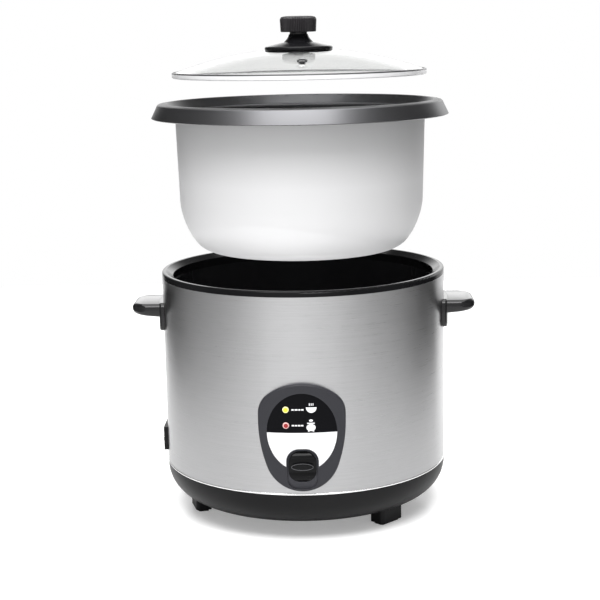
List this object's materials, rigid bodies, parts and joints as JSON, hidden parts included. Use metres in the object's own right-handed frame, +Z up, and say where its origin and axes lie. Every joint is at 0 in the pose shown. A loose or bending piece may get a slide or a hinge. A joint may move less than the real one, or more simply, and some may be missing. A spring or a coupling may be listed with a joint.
{
  "type": "rice cooker",
  "caption": "Round steel rice cooker with side grips, a lift-out pot, a domed glass lid and a front lever that switches cooking on until a magnetic thermostat lets go.",
  "frame": {"origin": "on the worktop under the middle of the body", "axes": "+Z up along the body's axis, -Y towards the control panel, +X towards the right-hand grip seen from the front"},
  "size_m": [0.34, 0.2953, 0.4857],
  "materials": {
    "jacket_steel": "fine brushing round the body",
    "base_plastic": "satin black",
    "pad_rubber": "matt black",
    "zinc_sheet": "plain zinc-plated sheet",
    "screw_steel": "plain plated steel",
    "gloss_black": "polished black",
    "liner_coating": "dark baked coating",
    "plate_aluminium": "cast, lightly machined",
    "element_steel": "heat-darkened sheath",
    "ferrite": "sintered grey",
    "switch_plastic": "moulded brown",
    "board": "plain laminate",
    "warm_band": "foil-faced band",
    "fuse_case": "plated can",
    "contact_brass": "plain brass",
    "bezel_grey": "satin dark grey",
    "fascia_gloss": "printed black above and white below",
    "amber_lens": "clear amber lens",
    "red_lens": "clear red lens",
    "pot_aluminium": "satin outside, dark non-stick inside and on the flange",
    "lid_glass": "clear tempered glass",
    "band_steel": "polished stainless steel"
  },
  "bodies": {
    "housing": {"outer_shell": "jacket_steel", "base_ring": "base_plastic", "feet": "base_plastic", "power_inlet": "base_plastic", "foot_pads": "pad_rubber", "bottom_cover": "zinc_sheet", "thermostat_housing": "zinc_sheet", "lever_bracket": "zinc_sheet", "switch_bracket": "zinc_sheet", "fuse_clip": "zinc_sheet", "cover_screws": "screw_steel", "chassis_screws": "screw_steel", "plate_screws": "screw_steel", "handle_screws": "screw_steel", "inlet_screws": "screw_steel", "lever_pin": "screw_steel", "chassis_posts": "screw_steel", "plate_posts": "screw_steel", "sensor_spring": "screw_steel", "magnet_spring": "screw_steel", "top_rim": "gloss_black", "handle_left": "gloss_black", "handle_right": "gloss_black", "inner_liner": "liner_coating", "heating_plate": "plate_aluminium", "heating_element": "element_steel", "switch_body": "switch_plastic", "lamp_board": "board", "keep_warm_band": "warm_band", "thermal_fuse": "fuse_case", "inlet_pins": "contact_brass", "control_bezel": "bezel_grey", "fascia": "fascia_gloss", "warm_lamp": "amber_lens", "cook_lamp": "red_lens"},
    "pot": {"inner_pot": "pot_aluminium"},
    "lid": {"lid_glass": "lid_glass", "lid_band": "band_steel", "vent_eyelet": "band_steel", "knob_skirt": "gloss_black", "lid_knob": "gloss_black", "knob_screw": "screw_steel", "knob_washer": "screw_steel"},
    "cook_lever": {"lever_arm": "zinc_sheet", "lever_knob": "gloss_black"},
    "magnet_slider": {"magnet": "ferrite", "pull_rod": "screw_steel"},
    "sensor": {"sensor_cap": "plate_aluminium", "ferrite_disc": "ferrite"},
    "switch_button": {"switch_plunger": "switch_plastic"}
  },
  "joints": [
    {"name": "pot_lift", "type": "slide", "parent": "housing", "child": "pot", "axis": [0, 0, 1], "range_m": [-0.157, 0]},
    {"name": "lid_lift", "type": "slide", "parent": "pot", "child": "lid", "axis": [0, 0, 1], "range_m": [-0.033, 0]},
    {"name": "cook_lever_turn", "type": "hinge", "parent": "housing", "child": "cook_lever", "pos_m": [0, -0.07, 0.064], "axis": [1, 0, 0], "range_deg": [0, 4.5], "stiffness_Nm_per_rad": 1.5, "springref_deg": -2.86},
    {"name": "magnet_rise", "type": "slide", "parent": "housing", "child": "magnet_slider", "axis": [0, 0, 1], "range_m": [0, 0.0055], "deforming": ["magnet_spring"]},
    {"name": "sensor_press", "type": "slide", "parent": "housing", "child": "sensor", "axis": [0, 0, 1], "range_m": [-0.0015, 0], "stiffness_N_per_m": 1500, "springref_m": 0.003, "deforming": ["sensor_spring"]},
    {"name": "switch_press", "type": "slide", "parent": "housing", "child": "switch_button", "axis": [0, 0, 1], "range_m": [-0.0024, 0]}
  ],
  "couplings": [
    {"joint": "magnet_rise", "follows": "cook_lever_turn", "m_per_rad": 0.07},
    {"joint": "switch_press", "follows": "cook_lever_turn", "m_per_rad": -0.03}
  ]
}
